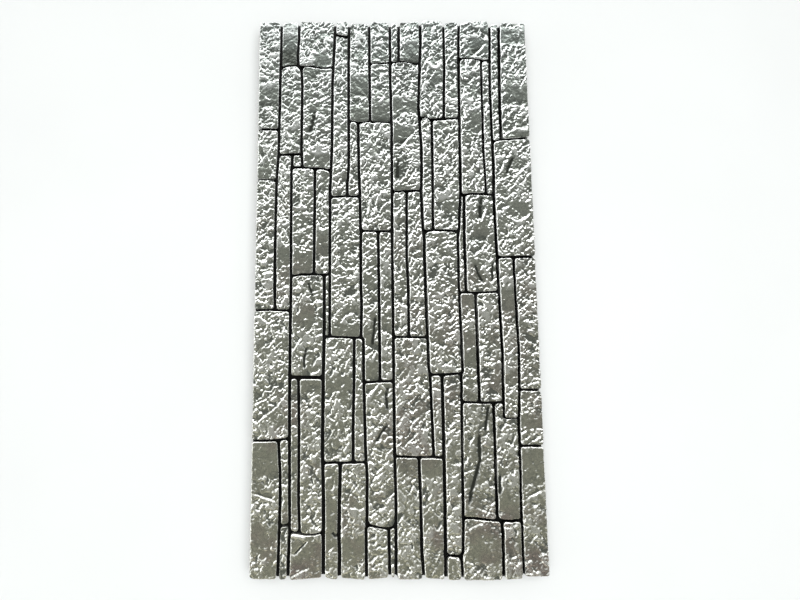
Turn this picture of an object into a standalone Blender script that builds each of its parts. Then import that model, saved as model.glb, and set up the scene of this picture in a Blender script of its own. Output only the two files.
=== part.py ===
"""Wall veneer panel of stacked stone, moulded in one piece from rigid foam.

The panel lies on its flat back. X runs across it, Y along the stones and Z up through its
thickness. The origin is the middle of the back.
"""

import math

import bmesh
import bpy
from mathutils import Vector, noise

# Overall sizes in metres. The length is taken over the stone ends that stand out furthest, and the
# thickness over the highest flake that the mould allows.
PANEL_WIDTH = 0.600
PANEL_LENGTH = 1.200
PANEL_THICKNESS = 0.038

# The board behind the stones: what is left of the thickness at the bottom of a joint. Its two
# short ends lie a little inside the stone ends.
BOARD_THICKNESS = 0.014
END_SETBACK = 0.0065

# Joints, measured between the stone faces. Their sides lean, so that the mould lets go.
LONG_JOINT = 0.006
WIDE_JOINT = 0.007
CROSS_JOINT = 0.0045
HAIR_JOINT = 0.003
DRAFT = math.radians(2.0)
DRAFT_SHARE_OF_JOINT = 0.25

# Stone faces: a worn arris all round, worn corners, three face levels and a split relief.
ARRIS = 0.0022
ARRIS_SHARE_OF_STONE = 0.22
CORNER = 0.0035
SOFT_CORNER = 0.010
LEVEL_STEP = 0.0014
RELIEF = 0.0019
FLAKE_ACROSS = 0.030
FLAKE_ALONG = 0.060

# Spacing of the face mesh.
STEP_ACROSS = 0.021
STEP_ALONG = 0.036

# The layout is drawn in millimetres from the lower left corner, and stretched to the panel's own
# width and length. Its own size is where "right", the right long edge, stands and ends.
#
# Centre lines of the joints that run along the panel: (distance up, distance across) wherever one
# bends. "left" and "right" are the panel's long edges.
LONG_LINES = {
    "left": [(0, 0), (1200, 0)],
    "right": [(0, 600), (1200, 600)],
    "a": [(4, 56.5), (153, 59.5), (203, 59), (271, 54.5)],
    "b": [(4, 77), (103, 79), (352, 76), (600, 76.5), (799, 75), (848, 75), (883, 77.5)],
    "c": [(89, 99.5), (153, 97), (302, 96.5), (396, 94.5)],
    "d": [(4, 147.5), (153, 147.5), (252, 145), (401, 146), (501, 148), (617, 147.5)],
    "e": [(4, 179.5), (54, 180), (83, 178.5), (225, 181.5)],
    "f": [(228, 208), (302, 208), (401, 210.5), (481, 211)],
    "g": [(4, 234), (98, 233.5), (103, 235.5), (203, 236.5), (252, 233.5), (401, 230.5), (481, 230.5),
          (486, 225.5), (550, 227), (600, 225.5), (699, 226), (799, 224.5), (848, 222.5), (958, 221.5)],
    "h": [(4, 280.5), (95, 279.5)],
    "i": [(4, 293), (153, 294.5), (252, 293), (699, 293.5), (948, 295.5), (1047, 294), (1196, 294.5)],
    "j": [(4, 348.5), (54, 345.5), (153, 345), (237, 343)],
    "k": [(239, 373), (401, 369), (421, 366.5), (650, 362.5), (699, 363), (719, 360.5), (799, 358),
          (848, 360), (898, 360.5), (997, 355.5), (1146, 363), (1196, 363)],
    "l": [(4, 392.5), (252, 394.5), (404, 394)],
    "m": [(4, 426), (44, 424.5), (54, 428), (103, 430), (406, 434.5), (411, 437.5), (600, 434.5),
          (699, 435.5), (719, 439), (799, 444), (1047, 447), (1146, 449), (1196, 451.5)],
    "n": [(4, 507.5), (54, 509), (93, 509), (113, 507.5)],
    "o": [(115, 499.5), (347, 500)],
    "p": [(4, 548.5), (153, 548.5), (203, 550), (302, 550.5), (372, 554), (451, 556.5), (650, 553)],
    "q": [(543, 43), (600, 41.5), (749, 41.5), (826, 42.5), (898, 46.5), (1196, 49)],
    "r": [(487, 159), (799, 159.5), (898, 163.5), (1047, 164.5), (1146, 169), (1196, 171)],
    "s": [(393, 264.5), (709, 263.5)],
    "t": [(486, 326.5), (600, 326.5), (650, 324.5), (799, 326.5)],
    "u": [(352, 470.5), (576, 469.5)],
    "v": [(583, 449.5), (699, 449.5), (791, 451.5)],
    "w": [(315, 519.5), (451, 521.5), (769, 516), (848, 518), (1047, 517), (1196, 521)],
    "x": [(620, 125.5), (850, 126.5)],
    "y": [(856, 98.5), (898, 96.5), (1047, 97), (1087, 95)],
    "z": [(792, 197), (819, 197), (838, 199), (878, 200.5), (1097, 200.5), (1196, 202.5)],
    "aa": [(717, 382), (799, 383.5), (964, 384.5)],
    "bb": [(797, 500), (898, 497), (1105, 498.5)],
    "cc": [(1092, 88), (1117, 86), (1161, 89), (1196, 89)],
    "dd": [(961, 248), (1196, 247.5)],
    "ee": [(1104, 313.5), (1196, 314.5)],
    "ff": [(971, 411.5), (1097, 415.5), (1196, 415.5)],
    "gg": [(919, 537.5), (997, 537), (1196, 541.5)],
    # The inner corner of the one stone shaped like an L: a line inside it, and so with no gap.
    "elbow": [(115, 516.5), (347, 516.5)],
}

# Centre lines of the joints between stone ends: (distance across, distance up). "bottom" and "top"
# are the panel's short ends, which step from stone to stone inside the joints.
CROSS_LINES = {
    "bottom": [(0, 2.5), (54.5, 2), (58.5, 0), (75, 3), (79, 0.5), (145.5, 5), (149.5, 6),
               (177.5, 0), (181.5, 4), (232, 0), (236, 1.5), (278.5, 5), (291, 5), (295, 1),
               (346.5, 1), (350.5, 4), (390.5, 1), (424, 1), (428, 0), (505.5, 0), (509.5, 1.5),
               (546.5, 4), (550.5, 6.5), (600, 6.5)],
    "top": [(0, 1195.5), (47, 1197), (51, 1196), (87, 1198), (91, 1199), (169, 1197),
            (200.5, 1197.5), (204.5, 1194.5), (245.5, 1195), (249.5, 1198), (292.5, 1195),
            (296.5, 1195.5), (312.5, 1195.5), (316.5, 1197), (361, 1199.5), (365, 1200),
            (413.5, 1200), (417.5, 1195), (449.5, 1199), (453.5, 1197.5), (519, 1200),
            (523, 1194), (539.5, 1194), (543.5, 1195), (600, 1195)],
    "A": [(0, 271), (50, 272), (75, 276)],
    "B": [(61, 103), (78, 105.5)],
    "C": [(80, 91.5), (112, 87), (130, 87.5), (146, 91.5)],
    "D": [(148, 227.5), (232, 227.5)],
    "E": [(237, 104.5), (270, 99), (285, 99), (292, 102.5)],
    "F": [(295, 239.5), (391, 237.5)],
    "G": [(395, 47.5), (424, 44.5)],
    "H": [(431, 118), (450, 118), (498, 113.5)],
    "I": [(501, 116), (515, 113.5), (530, 112.5), (547, 114.5)],
    "J": [(551, 261), (600, 260)],
    "K": [(0, 540.5), (40, 541), (76, 539.5)],
    "L": [(77, 400), (145, 399.5)],
    "M": [(149, 485), (228, 482)],
    "N": [(231, 389.5), (292, 392.5)],
    "O": [(294, 484), (365, 483)],
    "P": [(369, 405.5), (400, 406), (437, 408.5)],
    "Q": [(434, 349.5), (480, 347.5), (519, 349)],
    "R": [(435, 579), (470, 578), (519, 580)],
    "S": [(520, 315), (550, 315.5)],
    "T": [(554, 374.5), (600, 373.5)],
    "U": [(76, 613), (100, 617.5), (159, 617)],
    "V": [(0, 827.5), (42, 826.5)],
    "W": [(76, 855), (145, 851.5), (159, 847.5)],
    "X": [(46, 883), (78, 886), (97, 885)],
    "Y": [(160, 787.5), (190, 789.5), (224, 789.5)],
    "Z": [(226, 712), (294, 712)],
    "AA": [(295, 800), (345, 802.5), (358, 801.5)],
    "BB": [(363, 712), (385, 714), (437, 712)],
    "CC": [(443, 791.5), (470, 795.5), (517, 793.5)],
    "DD": [(518, 654.5), (600, 655.5)],
    "EE": [(49, 1086.5), (62, 1092.5), (80, 1092.5), (90, 1088.5), (115, 1090.5), (145, 1085),
           (166, 1087.5)],
    "FF": [(171, 1166), (202, 1159)],
    "GG": [(200, 961.5), (215, 960.5), (222, 958.5), (245, 959.5), (295, 958.5)],
    "HH": [(248, 1096.5), (294, 1098.5)],
    "II": [(295, 1098.5), (305, 1101.5), (320, 1102.5), (335, 1101), (350, 1097.5), (360, 1097.5)],
    "JJ": [(357, 965.5), (370, 970.5), (382, 964.5), (420, 966.5), (445, 969.5)],
    "KK": [(448, 1103.5), (457, 1108.5), (475, 1109), (500, 1105.5), (519, 1104.5)],
    "LL": [(518, 914), (530, 917), (600, 923)],
    "MM": [(0, 942.5), (30, 942.5), (46, 941)],
    "elbow": [(499, 312.7), (552, 313)],
}

WIDE_LINES = {"d", "e", "l", "L"}
HAIR_LINES = {"HH"}
SOLID_LINES = {"left", "right", "bottom", "top", "elbow"}

# The stones, from the lower left to the upper right: left side, right side, lower end, upper end,
# face level (-1 low, 0, 1 proud) and which ends have soft corners.
STONES = [
    ("left", "a", "bottom", "A", 0, ""),
    ("a", "b", "bottom", "B", 1, ""),
    ("a", "b", "B", "A", 0, ""),
    ("b", "d", "bottom", "C", 0, ""),
    ("b", "c", "C", "L", -1, ""),
    ("c", "d", "C", "L", 1, ""),
    ("d", "e", "bottom", "D", 0, ""),
    ("e", "g", "bottom", "D", -1, ""),
    ("g", "h", "bottom", "E", 0, ""),
    ("h", "i", "bottom", "E", -1, ""),
    ("g", "i", "E", "N", 0, "lower"),
    ("i", "j", "bottom", "F", -1, ""),
    ("j", "l", "bottom", "F", 0, ""),
    ("l", "m", "bottom", "G", 1, ""),
    ("l", "m", "G", "P", 0, ""),
    ("m", "n", "bottom", "H", 0, ""),
    ("m", "o", "H", "Q", -1, ""),
    ("n", "p", "bottom", "I", 1, ""),
    ("o", "elbow", "I", "elbow", 0, ""),
    ("p", "right", "bottom", "J", -1, ""),
    ("p", "right", "J", "T", 0, ""),
    ("left", "b", "A", "K", 1, ""),
    ("d", "f", "D", "M", 0, ""),
    ("f", "g", "D", "M", -1, ""),
    ("i", "k", "F", "O", 1, ""),
    ("k", "l", "F", "P", 0, ""),
    ("left", "q", "K", "V", 0, ""),
    ("q", "b", "K", "X", -1, ""),
    ("b", "d", "L", "U", 0, ""),
    ("d", "r", "M", "U", -1, ""),
    ("r", "g", "M", "Y", 0, ""),
    ("g", "s", "N", "Z", 1, ""),
    ("s", "i", "N", "Z", 0, ""),
    ("i", "t", "O", "AA", 0, ""),
    ("t", "k", "O", "AA", -1, ""),
    ("k", "m", "P", "BB", 1, "upper"),
    ("m", "u", "Q", "R", 0, ""),
    ("u", "w", "Q", "R", 1, ""),
    ("m", "v", "R", "CC", -1, ""),
    ("v", "w", "R", "CC", 0, ""),
    ("w", "p", "S", "DD", 1, ""),
    ("p", "right", "T", "DD", 0, ""),
    ("b", "x", "U", "W", 1, ""),
    ("x", "r", "U", "W", 0, ""),
    ("left", "q", "V", "MM", -1, ""),
    ("b", "y", "W", "X", 0, ""),
    ("y", "r", "W", "EE", 1, ""),
    ("q", "y", "X", "EE", 0, "upper"),
    ("r", "z", "Y", "FF", 1, ""),
    ("z", "g", "Y", "GG", 0, ""),
    ("g", "i", "Z", "GG", 1, ""),
    ("i", "k", "AA", "II", 0, ""),
    ("k", "aa", "BB", "JJ", 1, "upper"),
    ("aa", "m", "BB", "JJ", 0, ""),
    ("m", "bb", "CC", "KK", 1, ""),
    ("bb", "w", "CC", "KK", -1, ""),
    ("w", "right", "DD", "LL", 1, ""),
    ("left", "q", "MM", "top", 0, ""),
    ("q", "cc", "EE", "top", -1, ""),
    ("cc", "r", "EE", "top", 0, ""),
    ("r", "z", "FF", "top", 1, ""),
    ("z", "dd", "GG", "top", 0, ""),
    ("dd", "i", "GG", "HH", 0, ""),
    ("dd", "i", "HH", "top", 0, ""),
    ("i", "ee", "II", "top", -1, ""),
    ("ee", "k", "II", "top", 0, ""),
    ("k", "ff", "JJ", "top", 1, ""),
    ("ff", "m", "JJ", "top", 0, ""),
    ("m", "w", "KK", "top", 0, ""),
    ("w", "gg", "LL", "top", -1, ""),
    ("gg", "right", "LL", "top", 1, ""),
]

# What the L-shaped stone has beyond its entry above: its wide foot and its narrow leg.
ELBOW_PATCHES = [
    ("elbow", "p", "I", "elbow"),
    ("o", "elbow", "elbow", "Q"),
]


DRAWN_WIDTH = LONG_LINES["right"][0][1]
DRAWN_LENGTH = LONG_LINES["right"][1][0]


def joint_width(name):
    """Width of a joint at the stone faces. An edge of the panel, or a line in a stone, has none."""
    if name in SOLID_LINES:
        return 0.0
    if name in WIDE_LINES:
        return WIDE_JOINT
    if name in HAIR_LINES:
        return HAIR_JOINT
    return LONG_JOINT if name in LONG_LINES else CROSS_JOINT


def drawn_across(x):
    """From the layout's distance across to the panel's own X."""
    return (x / DRAWN_WIDTH - 0.5) * PANEL_WIDTH


def drawn_up(y):
    """From the layout's distance up to the panel's own Y."""
    return (y / DRAWN_LENGTH - 0.5) * PANEL_LENGTH


def offset_at(line, where):
    """Where a line lies at a place along it. It runs straight between its points."""
    if where <= line[0][0]:
        return line[0][1]
    for (start, low), (end, high) in zip(line, line[1:]):
        if where <= end:
            return low + (high - low) * (where - start) / (end - start)
    return line[-1][1]


class Patch:
    """The four-sided area that a stone takes up between the centre lines of its joints."""

    def __init__(self, left, right, lower, upper):
        self.left = self.side(left, 1)
        self.right = self.side(right, -1)
        self.lower = self.end(lower, 1)
        self.upper = self.end(upper, -1)

    def side(self, name, inward):
        gap = inward * joint_width(name) / 2
        return [(drawn_up(y), drawn_across(x) + gap) for y, x in LONG_LINES[name]]

    def end(self, name, inward):
        gap = inward * joint_width(name) / 2
        return [(drawn_across(x), drawn_up(y) + gap) for x, y in CROSS_LINES[name]]

    def point(self, s, t):
        """The place at share s of the way across and share t of the way up."""
        x = 0.0
        y = (self.lower[0][1] + self.upper[0][1]) / 2
        for _ in range(6):
            left = offset_at(self.left, y)
            x = left + s * (offset_at(self.right, y) - left)
            lower = offset_at(self.lower, x)
            y = lower + t * (offset_at(self.upper, x) - lower)
        return x, y

    def size(self):
        """Its narrowest width and its length up the middle."""
        widths = [self.point(1, t)[0] - self.point(0, t)[0] for t in (0, 0.5, 1)]
        return min(widths), self.point(0.5, 1)[1] - self.point(0.5, 0)[1]


def flakes(x, y, turn):
    """Relief of a split face, from -1 to 1: flakes at slopes of their own, meeting in ridges."""
    across = x * math.cos(turn) + y * math.sin(turn)
    along = y * math.cos(turn) - x * math.sin(turn)
    place = Vector((across / FLAKE_ACROSS, along / FLAKE_ALONG, 3 * turn))
    middle = noise.voronoi(place)[1][0]
    lean = noise.noise_vector(middle * 5.3)
    height = 1.6 * lean.dot(place - middle) + 1.1 * lean.z
    return max(-1.0, min(1.0, height))


def face_mesh(patches, steps):
    """A flat grid over each patch, joined where they meet."""
    mesh = bmesh.new()
    for patch, (across, up) in zip(patches, steps):
        grid = bmesh.ops.create_grid(mesh, x_segments=across, y_segments=up, size=0.5)
        for vert in grid["verts"]:
            x, y = patch.point(vert.co.x + 0.5, vert.co.y + 0.5)
            vert.co = (x, y, 0)
    bmesh.ops.remove_doubles(mesh, verts=mesh.verts[:], dist=0.0001)
    bmesh.ops.recalc_face_normals(mesh, faces=mesh.faces[:])
    if sum(face.normal.z for face in mesh.faces) < 0:
        bmesh.ops.reverse_faces(mesh, faces=mesh.faces[:])
    return mesh


def outward(vert):
    """Direction in plan from a vertex on the rim of a stone towards the joint beside it."""
    total = Vector((0, 0, 0))
    for edge in vert.link_edges:
        if not edge.is_boundary:
            continue
        run = (edge.verts[1].co - edge.verts[0].co).cross(Vector((0, 0, 1)))
        run.z = 0
        run.normalize()
        inside = edge.link_faces[0].calc_center_median() - edge.verts[0].co
        total += run if run.dot(inside) < 0 else -run
    total.z = 0
    return total.normalized() if total.length > 0 else total


def round_corners(mesh, radius, rounded):
    """Wears off the stone's corners in plan."""
    corners = [v for v in mesh.verts if len(v.link_edges) == 2 and rounded(v)]
    if corners and radius > 0:
        bmesh.ops.bevel(mesh, geom=corners, offset=radius, offset_type="OFFSET", segments=2,
                        profile=0.5, affect="VERTICES")


def add_stone(mesh, entry, index):
    """Adds one stone to the mesh as a closed block that goes down to the panel's back."""
    left, right, lower, upper, level, soft = entry
    patches = [Patch(left, right, lower, upper)]
    width, length = patches[0].size()
    steps = [(max(1, round(width / STEP_ACROSS)), max(1, round(length / STEP_ALONG)))]
    free = {"left": left == "left", "right": right == "right", "lower": lower == "bottom",
            "upper": upper == "top"}
    if "elbow" in entry:
        foot, leg = (Patch(*sides) for sides in ELBOW_PATCHES)
        patches += [foot, leg]
        steps += [(max(1, round(foot.size()[0] / STEP_ACROSS)), steps[0][1]), (steps[0][0], 2)]
    stone = face_mesh(patches, steps)
    middle = patches[0].point(0.5, 0.5)[1]
    plain = min(CORNER, width / 4)
    large = min(SOFT_CORNER, width / 3)
    for side in ("lower", "upper"):
        round_corners(stone, large if soft == side else plain,
                      lambda v, low=side == "lower": (v.co.y < middle) == low)

    arris = min(ARRIS, ARRIS_SHARE_OF_STONE * width)
    bmesh.ops.inset_region(stone, faces=stone.faces[:], thickness=arris, depth=0,
                           use_boundary=True, use_even_offset=True)
    rim = [v for v in stone.verts if v.is_boundary]
    on_rim = set(rim)
    turn = math.radians(35 + 25 * math.sin(5.1 * index)) * (1 if index % 2 else -1)
    face = PANEL_THICKNESS - RELIEF - LEVEL_STEP * (1 - level)
    for vert in stone.verts:
        relief = flakes(vert.co.x, vert.co.y, turn)
        if vert in on_rim:
            vert.co.z = face - arris + 0.3 * RELIEF * relief
        else:
            vert.co.z = face + RELIEF * relief

    narrowest = min(LONG_JOINT, CROSS_JOINT, HAIR_JOINT)
    spread = min(face * math.tan(DRAFT), DRAFT_SHARE_OF_JOINT * narrowest)
    feet = {}
    for vert in rim:
        lean = outward(vert)
        if free["left"]:
            lean.x = max(lean.x, 0)
        if free["right"]:
            lean.x = min(lean.x, 0)
        if free["lower"]:
            lean.y = max(lean.y, 0)
        if free["upper"]:
            lean.y = min(lean.y, 0)
        feet[vert] = (vert.co.x + spread * lean.x, vert.co.y + spread * lean.y, 0)
    rim_edges = [e for e in stone.edges if e.is_boundary]
    sides = bmesh.ops.extrude_edge_only(stone, edges=rim_edges)
    lowered = [g for g in sides["geom"] if isinstance(g, bmesh.types.BMVert)]
    above = {}
    for vert in lowered:
        for edge in vert.link_edges:
            other = edge.other_vert(vert)
            if other in on_rim:
                above[vert] = other
    for vert, source in above.items():
        vert.co = feet[source]
    bmesh.ops.holes_fill(stone, edges=[e for e in stone.edges if e.is_boundary])
    bmesh.ops.recalc_face_normals(stone, faces=stone.faces[:])

    block = bpy.data.meshes.new("stone block")
    stone.to_mesh(block)
    stone.free()
    mesh.from_mesh(block)
    bpy.data.meshes.remove(block)


def paint():
    """Pewter-coloured metallic paint, satin."""
    material = bpy.data.materials.new("pewter paint")
    material.use_nodes = True
    shader = material.node_tree.nodes["Principled BSDF"]
    shader.inputs["Base Color"].default_value = (0.20, 0.21, 0.19, 1)
    shader.inputs["Metallic"].default_value = 0.6
    shader.inputs["Roughness"].default_value = 0.38
    return material


def main():
    for old in list(bpy.data.objects):
        bpy.data.objects.remove(old)
    parts = bpy.data.collections.new("veneer panel")
    helpers = bpy.data.collections.new("blocks joined into the panel")
    bpy.context.scene.collection.children.link(parts)
    bpy.context.scene.collection.children.link(helpers)

    blocks = bmesh.new()
    for index, entry in enumerate(STONES):
        add_stone(blocks, entry, index)
    stones_mesh = bpy.data.meshes.new("stones")
    blocks.to_mesh(stones_mesh)
    blocks.free()
    stones = bpy.data.objects.new("stones", stones_mesh)
    stones.hide_render = True
    stones.display_type = "WIRE"
    helpers.objects.link(stones)

    board = bmesh.new()
    bmesh.ops.create_cube(board, size=1)
    size = (PANEL_WIDTH, PANEL_LENGTH - 2 * END_SETBACK, BOARD_THICKNESS)
    bmesh.ops.scale(board, vec=size, verts=board.verts[:])
    bmesh.ops.translate(board, vec=(0, 0, BOARD_THICKNESS / 2), verts=board.verts[:])
    panel_mesh = bpy.data.meshes.new("veneer_panel")
    board.to_mesh(panel_mesh)
    board.free()
    panel = bpy.data.objects.new("veneer_panel", panel_mesh)
    panel.data.materials.append(paint())
    parts.objects.link(panel)

    join = panel.modifiers.new("stones on the board", "BOOLEAN")
    join.operation = "UNION"
    join.solver = "EXACT"
    join.object = stones


main()
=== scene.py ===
# %% [markdown]
# # A stacked-stone veneer panel
# The real object is a wall panel, 600 by 1200 mm, moulded in one piece from rigid foam. Its face is
# a cast of split stone strips laid side by side. The joints are black and the stones are painted in
# a silvery pewter metallic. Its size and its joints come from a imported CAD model, which this script
# loads first and never changes. Everything below is built around that model, in metres, with X
# across the panel, Y along it and Z out of its face.

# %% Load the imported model
import math

import bpy
import numpy as np
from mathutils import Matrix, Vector


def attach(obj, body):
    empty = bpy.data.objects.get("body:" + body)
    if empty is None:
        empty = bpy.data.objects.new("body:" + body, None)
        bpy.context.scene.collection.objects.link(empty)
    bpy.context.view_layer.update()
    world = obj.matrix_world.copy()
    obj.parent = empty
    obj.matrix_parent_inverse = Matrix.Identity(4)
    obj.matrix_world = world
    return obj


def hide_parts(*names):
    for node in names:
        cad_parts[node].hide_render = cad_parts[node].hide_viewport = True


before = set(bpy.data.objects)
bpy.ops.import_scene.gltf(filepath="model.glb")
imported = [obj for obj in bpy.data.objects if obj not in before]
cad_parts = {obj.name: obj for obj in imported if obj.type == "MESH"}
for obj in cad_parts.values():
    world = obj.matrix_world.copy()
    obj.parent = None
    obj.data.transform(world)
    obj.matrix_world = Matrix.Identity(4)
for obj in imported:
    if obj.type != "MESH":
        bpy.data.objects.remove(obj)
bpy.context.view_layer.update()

# %% [markdown]
# A few helpers serve the whole script. Paint colours are noted as sRGB hex values, the way a colour
# picker gives them, but shaders work on linear values, so one function turns them. Another adds a
# node to a tree, sets its options and fills or links its inputs.

# %% Helpers for colours, nodes and objects
def linear(hex_colour):
    """Linear RGBA of an sRGB hex value such as '7d8079'."""
    channels = [int(hex_colour[i:i + 2], 16) / 255 for i in (0, 2, 4)]
    return [c / 12.92 if c <= 0.04045 else ((c + 0.055) / 1.055) ** 2.4 for c in channels] + [1.0]


def add(tree, kind, inputs=None, **options):
    """Adds a node. An input takes a value, a socket, or a node, whose first output is used.

    A kind such as "Math" is short for a shader node's full name, here ShaderNodeMath.
    """
    node = tree.nodes.new(kind if "Node" in kind else "ShaderNode" + kind)
    node.location.x = 180 * len(tree.nodes)
    for name, value in options.items():
        setattr(node, name, value)
    for key, value in (inputs or {}).items():
        if isinstance(value, bpy.types.Node):
            value = value.outputs[0]
        if isinstance(value, bpy.types.NodeSocket):
            tree.links.new(value, node.inputs[key])
        else:
            node.inputs[key].default_value = value
    return node


def place(name, data):
    """Puts a new object with this mesh, light or camera into the scene."""
    thing = bpy.data.objects.new(name, data)
    bpy.context.scene.collection.objects.link(thing)
    return thing


def blank_material(name, roughness=0.5, specular=0.5):
    """A new material with its node tree and its main shader."""
    material = bpy.data.materials.new(name)
    material.use_nodes = True
    shader = material.node_tree.nodes["Principled BSDF"]
    shader.inputs["Roughness"].default_value = roughness
    shader.inputs["Specular IOR Level"].default_value = specular
    return material, material.node_tree, shader


# %% [markdown]
# The panel lies on its back and is seen from almost straight above, from a little below its middle.
# A camera at 1.05 m with a wide lens gives the same narrowing towards the far end. It looks 6
# degrees off the vertical, and a small sideways shift keeps the panel in the middle of the picture.

# %% The camera
camera = place("camera", bpy.data.cameras.new("camera"))
camera.data.sensor_width = 36
camera.data.lens = 21.6
camera.data.shift_x = 0.0769
camera.location = (-0.1239, -0.1519, 1.0468)
camera.rotation_euler = (math.radians(6.43), math.radians(-0.10), 0)
bpy.context.scene.camera = camera
bpy.context.scene.view_settings.view_transform = "Standard"
print("camera height:", camera.location.z, "m, lens:", camera.data.lens, "mm")

# %% [markdown]
# Satin metallic paint shows its relief by what it mirrors. A row of bright windows stands low
# beyond the far end, and two dimmer rows stand on the left and beyond the near end. Ledges that
# face them flash white, and the flat faces stay grey because they mirror a duller ceiling. A soft
# light overhead evens out the floor and isn't mirrored.

# %% Lights
WINDOW_DISTANCE, WINDOW_ROW_LENGTH = 9.0, 16.0


def add_light(name, spot, size, power, tint):
    """A large soft rectangle of light at one point, facing the middle of the panel."""
    light = place(name, bpy.data.lights.new(name, "AREA"))
    light.data.shape = "RECTANGLE"
    light.data.size, light.data.size_y = size
    light.data.energy = power
    light.data.color = linear(tint)[:3]
    light.location = spot
    light.rotation_euler = (-Vector(spot)).to_track_quat("-Z", "Y").to_euler()
    return light


def add_window(name, toward, rise, brightness, tint):
    """A row of windows between two angles above the floor, seen only in the gloss."""
    low, high = rise
    middle = math.radians((low + high) / 2)
    spot = WINDOW_DISTANCE * Vector((*(math.cos(middle) * np.array(toward)), math.sin(middle)))
    tall = 2 * WINDOW_DISTANCE * math.tan(math.radians(high - low) / 2)
    power = brightness * math.pi * WINDOW_ROW_LENGTH * tall
    light = add_light(name, spot, (WINDOW_ROW_LENGTH, tall), power, tint)
    light.visible_diffuse = False
    print(name, "at", [round(value, 2) for value in spot], "height", round(tall, 2))


add_window("windows beyond the far end", (0.05, 1.0), (12, 48), 4.0, "fbfdff")
add_window("windows beyond the near end", (-0.1, -1.0), (10, 36), 1.3, "fffbf2")
add_window("windows on the left", (-1.0, 0.1), (12, 45), 1.9, "fcfdff")
fill = add_light("fill", (0, -0.1, 3.4), (5.0, 5.0), 162, "ffffff")
fill.visible_glossy = False

# %% The room: pale beyond the far end, duller overhead and on the near side
NEAR, FAR = 0.45, 0.62
room = bpy.data.worlds.new("pale studio")
room.use_nodes = True
tree = room.node_tree
direction = add(tree, "TexCoord").outputs["Generated"]
onward = add(tree, "SeparateXYZ", {0: direction}).outputs["Y"]
glow = add(tree, "MapRange", {"Value": onward, "From Min": -0.7, "From Max": 0.7,
                              "To Min": NEAR, "To Max": FAR})
backdrop = tree.nodes["Background"]
backdrop.inputs["Color"].default_value = linear("f4f6f5")
tree.links.new(glow.outputs[0], backdrop.inputs["Strength"])
bpy.context.scene.world = room
print("room light:", NEAR, "near,", FAR, "far")

# %% The pale floor
FLOOR_REACH, FLOOR_HEIGHT = 4.0, -0.0004
floor_mesh = bpy.data.meshes.new("floor")
floor_mesh.from_pydata([(x * FLOOR_REACH, y * FLOOR_REACH, FLOOR_HEIGHT)
                        for x, y in ((-1, -1), (1, -1), (1, 1), (-1, 1))], [], [(0, 1, 2, 3)])
floor = place("floor", floor_mesh)
floor_paint, tree, shader = blank_material("matt white floor paint", 0.9, 0.1)
cloud = add(tree, "TexNoise", {"Vector": add(tree, "TexCoord").outputs["Object"], "Scale": 3.0})
tone = add(tree, "ValToRGB", {0: cloud})
tone.color_ramp.elements[0].color = linear("dfe1e0")
tone.color_ramp.elements[1].color = linear("e4e6e5")
tree.links.new(tone.outputs[0], shader.inputs["Base Color"])
floor.data.materials.append(floor_paint)

# %% [markdown]
# The stones lie in an irregular bond. Listing 71 outlines corner by corner would hide how they fit,
# so the layout is written as a mason would set it out: the centre lines of the joints first, and
# then each stone by the names of the four joints round it. Distances are in millimetres from the
# panel's lower left corner. The same lines drive the CAD model, so the two agree.

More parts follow.
